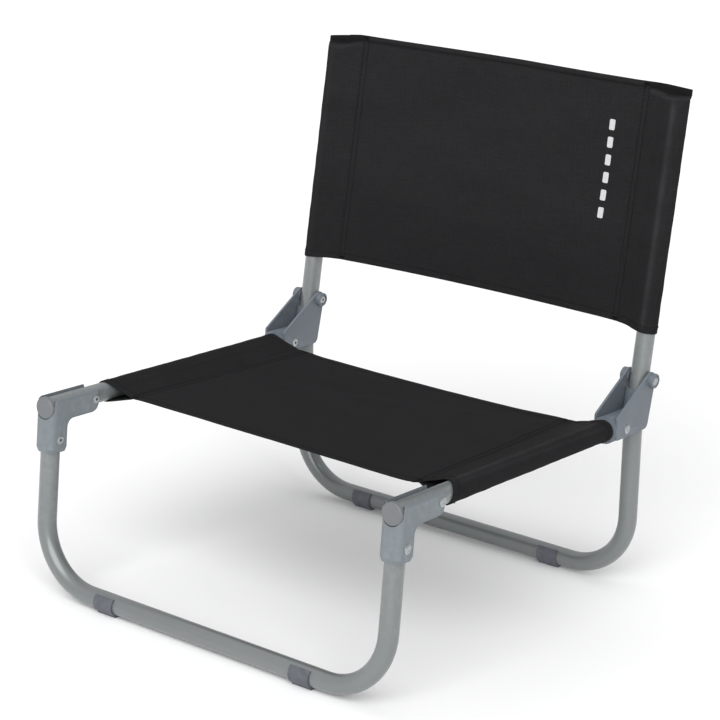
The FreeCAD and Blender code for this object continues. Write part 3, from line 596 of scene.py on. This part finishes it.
def clothSurface(cloth, across, share):
    # middle of the cloth's thickness at a grid of places, and how far along the tube each lies
    fine, sectionX, sectionOut = cloth["section"]
    side = np.sign(across)
    far = np.abs(across)
    start = edgeLine(cloth, "front", across)
    end = edgeLine(cloth, "rear", across)
    along = start + (end - start) * share
    x = side * np.interp(far, fine, sectionX)
    out = np.interp(far, fine, sectionOut)
    meet = halfSpan - cloth["seam"]
    onSleeve = np.clip((far - meet) / 6, 0, 1)
    offX = x - side * halfSpan
    # sleeves are a little loose: one slack fold beside the tube and small dents round it
    slack = bell(far - meet - 20 - 2 * waves(side * 40 + far * 0, along, 2.2, 0.02, 1), 11)
    bulge = 0.3 * waves(side * 90 + far, along, 6.4, 0.05) * onSleeve
    away = 1 + (bulge + 0.25) / cloth["sleeve"]
    x = np.where(onSleeve > 0, side * halfSpan + offX * (1 + (away - 1) * onSleeve), x)
    out = out * (1 + (away - 1) * onSleeve)
    out = out - 0.3 * slack * np.sign(fine[-1] / 2 + 60 - far)
    out = out + cloth["wrinkles"](cloth, across, along, share) * (1 - onSleeve)
    if cloth["tubeTop"]:
        # above the tube the sleeve is flattened into a band and sewn shut
        opened = 1 - 0.90 * smoothStep((along - cloth["tubeTop"] - 0.8) / 4.6)
        flat = (1 - opened) * onSleeve
        x = x + 0.22 * offX * flat * (np.abs(offX) < 14)
        out = out * (1 - flat) - 0.5 * flat
    for line in seamLines(cloth, share):
        pucker = 1 + 0.6 * waves(along, far * 0 + line + 300 * side, 4.4, 0.11)
        out = out - sewSet["groove"] * bell(far - line, 1.6) * pucker
    # rolled hem: a rounded ridge along the edge with its stitch row sunk below it
    for edge, inset in ((0, along - start), (1, end - along)):
        ridge = bell(inset - 0.4 * cloth["hems"][edge], 0.35 * cloth["hems"][edge])
        sunk = bell(inset - hemStitch(cloth, edge), 1.2)
        raised = cloth["roll"] * edge * ridge * (1 - onSleeve)
        out = out + raised - sewSet["hemGroove"] * sunk * (1 - 0.5 * onSleeve)
    return np.stack([x, along, out], -1), along


def normalsOf(middle):
    # normals of a grid of points, pointing to the sitter's side
    acrossStep = np.gradient(middle, axis=1)
    alongStep = np.gradient(middle, axis=0)
    normal = np.cross(acrossStep, alongStep)
    return normal / np.linalg.norm(normal, axis=2, keepdims=True)


def toFrame(cloth, points):
    origin = np.array(cloth["origin"])
    axes = np.array([(1, 0, 0), cloth["along"], cloth["out"]], float)
    return origin + points.reshape(-1, 3) * mm @ axes


def addMesh(name, points, faces, material, uv=None):
    mesh = bpy.data.meshes.new(name)
    mesh.from_pydata([tuple(p) for p in points], [], faces)
    mesh.materials.append(material)
    for polygon in mesh.polygons:
        polygon.use_smooth = True
    if uv is not None:
        layer = mesh.uv_layers.new(name="weave")
        index = np.zeros(len(mesh.loops), int)
        mesh.loops.foreach_get("vertex_index", index)
        layer.data.foreach_set("uv", uv[index].astype(np.float32).ravel())
    mesh.update()
    piece = bpy.data.objects.new(name, mesh)
    bpy.context.scene.collection.objects.link(piece)
    return piece


def acrossSteps(cloth):
    # finer at the seams and round the tubes than on the flat panel
    fine = cloth["section"][0]
    meet = halfSpan - cloth["seam"]
    sewn = meet - 9 + min(0, cloth["seamLean"])
    panel = np.linspace(0, sewn, 60)
    seams = np.linspace(sewn, meet + 5, int((meet + 5 - sewn) / 0.6))[1:]
    sleeve = np.linspace(meet + 5, fine[-1], 84)[1:]
    half = np.concatenate([panel, seams, sleeve])
    return np.concatenate([-half[:0:-1], half])


def alongSteps(cloth):
    length = sewSet["length"]
    top = 18 if cloth["tubeTop"] else cloth["hems"][1] * 1.2
    low = np.linspace(0, cloth["hems"][0] * 1.2, 15) / length
    high = 1 - np.linspace(top, 0, 22) / length
    return np.concatenate([low, np.linspace(low[-1], high[0], 84)[1:-1], high])


def thicknessAt(cloth, across, along):
    # hems are folded double, so they stand thicker up to their stitch row
    start = edgeLine(cloth, "front", across)
    end = edgeLine(cloth, "rear", across)
    folded = np.clip((cloth["hems"][0] - (along - start)) / 1.4, 0, 1)
    folded = np.maximum(folded, np.clip((cloth["hems"][1] - (end - along)) / 1.4, 0, 1))
    rounded = 0.5 + 0.5 * np.clip(np.minimum(along - start, end - along) / 0.8, 0, 1)
    return cloth["thickness"] * (1 + 0.8 * folded) * rounded


def markShades(cloth, across, share, along):
    # where the cloth gets painted shade, and where it is paler along the tube ridges: partly rubbed
    # wear, partly painted highlight
    far = np.abs(across)
    start = edgeLine(cloth, "front", across)
    end = edgeLine(cloth, "rear", across)
    # painted shade over the whole panel, from the cloth's base shade
    shade = cloth["baseShade"]
    # painted shade along the seams' stitch rows and the hems' stitch rows
    for line in seamLines(cloth, share):
        shade = np.maximum(shade, cloth["baseShade"] + sewSet["rowShade"] * bell(far - line, 1.5))
    for edge, inset in ((0, along - start), (1, end - along)):
        shade = np.maximum(shade, sewSet["hemShade"] * bell(inset - hemStitch(cloth, edge), 1.3))
    # painted highlight along the ridge over each tube, heavier on the right sleeves, partly rubbed
    # wear; the seat gets a second painted highlight stripe on its right sleeve
    onTop = bell(far - 246, 3.2) * (0.10 + 0.34 * (across > 0))
    if cloth["tubeTop"] is None:
        onTop = onTop + 0.20 * (across > 0) * bell(far - 254 - 0.01 * (along - 250), 2.2)
    rubAndSheen = onTop * np.clip((along - start) / 12, 0, 1) * np.clip((end - along - 12) / 12, 0, 1)
    if cloth["tubeTop"]:
        band = smoothStep((far - halfSpan + cloth["seam"]) / 4) * (far < 268)
        # the sewn-shut top is folded over, and its lower edge droops between seam and corner; the
        # folded band gets painted shade
        fold = end - 7.5 - 4 * bell(far - halfSpan + 8, 16)
        shade = np.maximum(shade, sewSet["bandShade"] * band * smoothStep((along - fold + 1) / 2))
        # painted shade: the back darkens towards its lower edge
        shade = np.maximum(shade, sewSet["lowShade"] * smoothStep((250 - along) / 110))
        # painted highlight along the shoulder just under the folded band
        rubAndSheen = rubAndSheen + 0.22 * band * bell(along - fold + 3.5, 2.2)
    return shade, rubAndSheen


def setMarks(piece, name, values):
    layer = piece.data.attributes.new(name, "FLOAT", "POINT")
    layer.data.foreach_set("value", values.astype(np.float32).ravel())


def makeCloth(cloth):
    cloth["section"] = halfSection(cloth)
    across, share = np.meshgrid(acrossSteps(cloth), alongSteps(cloth))
    middle, along = clothSurface(cloth, across, share)
    normal = normalsOf(middle)
    thick = thicknessAt(cloth, across, along)
    face = middle + normal * (thick / 2)[..., None]
    lining = middle - normal * (thick / 2)[..., None]
    rows, columns = across.shape
    count = rows * columns
    index = np.arange(count).reshape(rows, columns)
    quads = np.stack([index[:-1, :-1], index[:-1, 1:], index[1:, 1:], index[1:, :-1]], -1)
    quads = quads.reshape(-1, 4)
    border = np.concatenate([index[0, :-1], index[:-1, -1], index[-1, :0:-1], index[:0:-1, 0]])
    after = np.roll(border, -1)
    rim = np.stack([border, border + count, after + count, after], -1)
    faces = quads.tolist() + (quads[:, ::-1] + count).tolist() + rim.tolist()
    points = toFrame(cloth, np.concatenate([face.reshape(-1, 3), lining.reshape(-1, 3)]))
    weave = np.stack([across.ravel(), along.ravel()], 1) * mm
    # the lining side carries no print, so its weave is laid out far from the dashes
    piece = addMesh(cloth["name"], points, faces, cloth["finish"],
                    np.concatenate([weave, weave + (2.0, 0.0)]))
    piece.data.set_sharp_from_angle(angle=math.radians(50))
    for mark, values in zip(("shade", "rubAndSheen"), markShades(cloth, across, share, along)):
        setMarks(piece, mark, np.concatenate([values.ravel(), values.ravel()]))
    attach(piece, cloth["body"])
    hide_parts(cloth["node"])
    return piece


# stitching

stitchSet = {
    "length": 2.1,      # mm of thread showing
    "pitch": 4.2,
    "radius": 0.55,
    "sides": 6,
}


def dashMesh(starts, ends, normals, radius):
    # rows of short rounded threads that lie on the cloth
    sides = stitchSet["sides"]
    # place along the thread, width and lift of each ring, the last two in radii
    stops = ((0.0, 0.35, -0.9), (0.18, 0.95, 0.0), (0.5, 1.0, 0.25), (0.82, 0.95, 0.0),
             (1.0, 0.35, -0.9))
    run = ends - starts
    length = np.linalg.norm(run, axis=1, keepdims=True)
    ahead = run / length
    beside = np.cross(ahead, normals)
    beside /= np.linalg.norm(beside, axis=1, keepdims=True)
    upward = np.cross(beside, ahead)
    rings = []
    for place, wide, lift in stops:
        centre = starts + run * place + upward * radius * lift
        for step in range(sides):
            turn = 2 * math.pi * step / sides
            rings.append(centre + (beside * math.cos(turn) + upward * math.sin(turn)) * radius * wide)
    points = np.stack(rings, 1)
    perDash = len(stops) * sides
    faces = []
    for dash in range(len(starts)):
        base = dash * perDash
        for ring in range(len(stops) - 1):
            for step in range(sides):
                a = base + ring * sides + step
                b = base + ring * sides + (step + 1) % sides
                faces.append((a, a + sides, b + sides, b))
        faces.append(tuple(base + step for step in range(sides)))
        faces.append(tuple(base + perDash - 1 - step for step in range(sides)))
    return points.reshape(-1, 3), faces


def onFace(cloth, across, share, way):
    # points on the sitter's face (way 1) or the lining (way -1), with normals
    step = 0.4
    grid = []
    for da, db in ((0, 0), (step, 0), (0, step / sewSet["length"])):
        grid.append(clothSurface(cloth, across + da, share + db))
    middle, along = grid[0]
    normal = np.cross(grid[1][0] - middle, grid[2][0] - middle) * way
    normal /= np.linalg.norm(normal, axis=1, keepdims=True)
    lift = thicknessAt(cloth, across, along) / 2 + 0.05
    return middle + normal * lift[:, None], normal


def stitchRun(cloth, across, share, way=1):
    # dashes along a line given by places on the cloth
    placed, normal = onFace(cloth, across, share, way)
    steps = np.linalg.norm(np.diff(placed, axis=0), axis=1)
    reached = np.concatenate([[0], np.cumsum(steps)])
    begins = np.arange(1.5, reached[-1] - stitchSet["length"], stitchSet["pitch"])

    def at(distance):
        return np.stack([np.interp(distance, reached, placed[:, k]) for k in range(3)], 1)

    facing = np.stack([np.interp(begins, reached, normal[:, k]) for k in range(3)], 1)
    return at(begins), at(begins + stitchSet["length"]), facing


def barTack(cloth, side, share, reach, runs):
    # close rows of thread across the seam where it ends
    line = seamLines(cloth, np.array(share))[1] - 3.5
    for row in range(3):
        place = np.full(2, share + (row - 1) * 0.9 / sewSet["length"])
        across = side * (line + np.array([-reach, reach]))
        placed, normal = onFace(cloth, across, place, 1)
        placed = placed + normal * 0.3
        runs.append((placed[:1], placed[-1:], normal[:1]))


def hemShare(cloth, across, end):
    # share along the cloth at which the hem's stitch row runs
    length = edgeLine(cloth, "rear", across) - edgeLine(cloth, "front", across)
    share = hemStitch(cloth, end) / length
    return 1 - share if end else share


def makeStitching(cloth):
    runs = []
    many = np.linspace(0.008, 0.992, 260)
    total = cloth["section"][0][-1]
    flapEnd = total - cloth["lap"]
    meet = halfSpan - cloth["seam"]
    for side in (-1, 1):
        for line in seamLines(cloth, many):
            runs.append(stitchRun(cloth, side * line, many))
            # the same rows show on the flap behind
            behind = np.minimum(flapEnd + (meet - line), total - 1.5)
            runs.append(stitchRun(cloth, side * behind, many))
        for share in sewSet["tackAt"]:
            barTack(cloth, side, share, sewSet["tackReach"], runs)
    for end in (0, 1):
        wide = np.linspace(-meet, meet, 320)
        sleeve = np.linspace(meet + 3, flapEnd - 3, 160)
        runs.append(stitchRun(cloth, wide, hemShare(cloth, wide, end)))
        runs.append(stitchRun(cloth, wide, hemShare(cloth, wide, end), -1))
        for side in (-1, 1):
            runs.append(stitchRun(cloth, side * sleeve, hemShare(cloth, side * sleeve, end)))
    starts, ends, facing = (np.concatenate(parts) for parts in zip(*runs))
    points, faces = dashMesh(starts, ends, facing, stitchSet["radius"])
    piece = addMesh(cloth["name"] + "_stitching", toFrame(cloth, points), faces, threadFinish)
    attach(piece, cloth["body"])
    return piece


for cloth in (seatCloth, backCloth):
    panel = makeCloth(cloth)
    stitching = makeStitching(cloth)
    print(cloth["name"], "made:", len(panel.data.vertices), "points")


# end

print("scene built")
